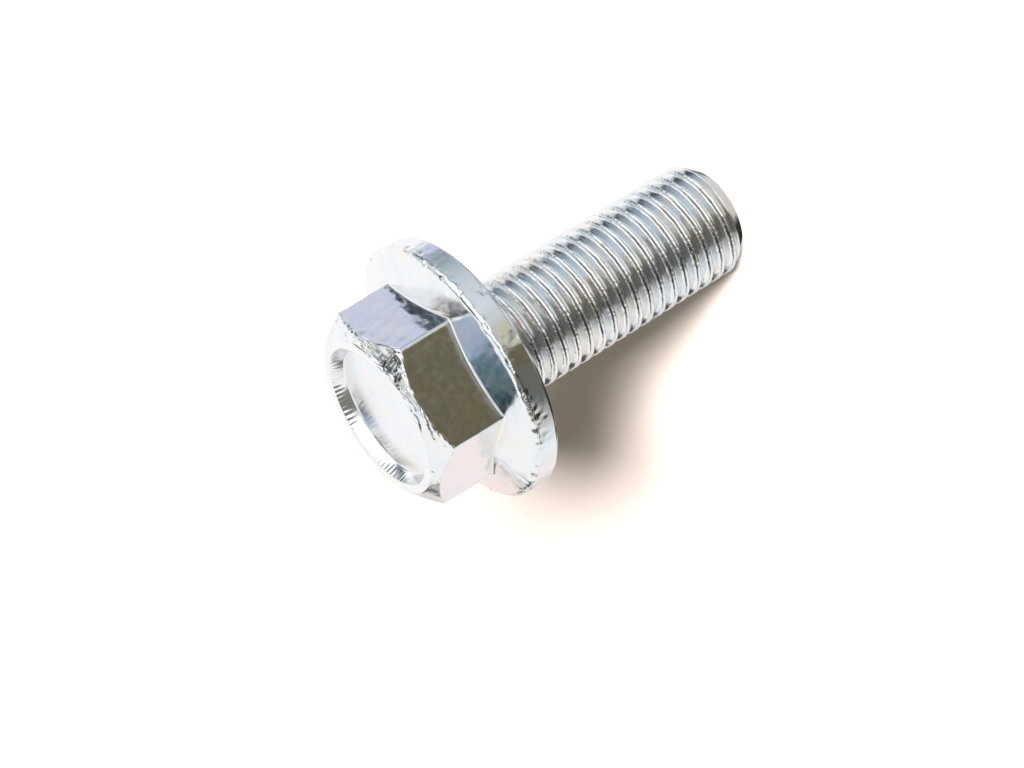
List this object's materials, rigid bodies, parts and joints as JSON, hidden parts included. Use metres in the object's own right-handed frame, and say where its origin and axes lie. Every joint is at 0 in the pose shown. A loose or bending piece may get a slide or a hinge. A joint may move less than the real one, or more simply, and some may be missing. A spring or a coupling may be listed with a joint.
{
  "type": "hexagon flange bolt",
  "caption": "Hexagon head flange bolt with dished head, conical washer flange, fully threaded shank and chamfered point; clamps parts with its own built-in washer face.",
  "frame": {"origin": "middle of the flat end of the point, on the surface the bolt stands on", "axes": "+Z along the bolt's axis, from the point up to the head; one corner of the hexagon stands 9.6 degrees from +X towards +Y"},
  "size_m": [0.0226, 0.0224, 0.0345],
  "materials": {
    "zinc_plated_steel": "bright zinc plating over forged and rolled steel, satin with fine forging marks"
  },
  "bodies": {
    "root": {"flange_bolt": "zinc_plated_steel"}
  },
  "joints": []
}
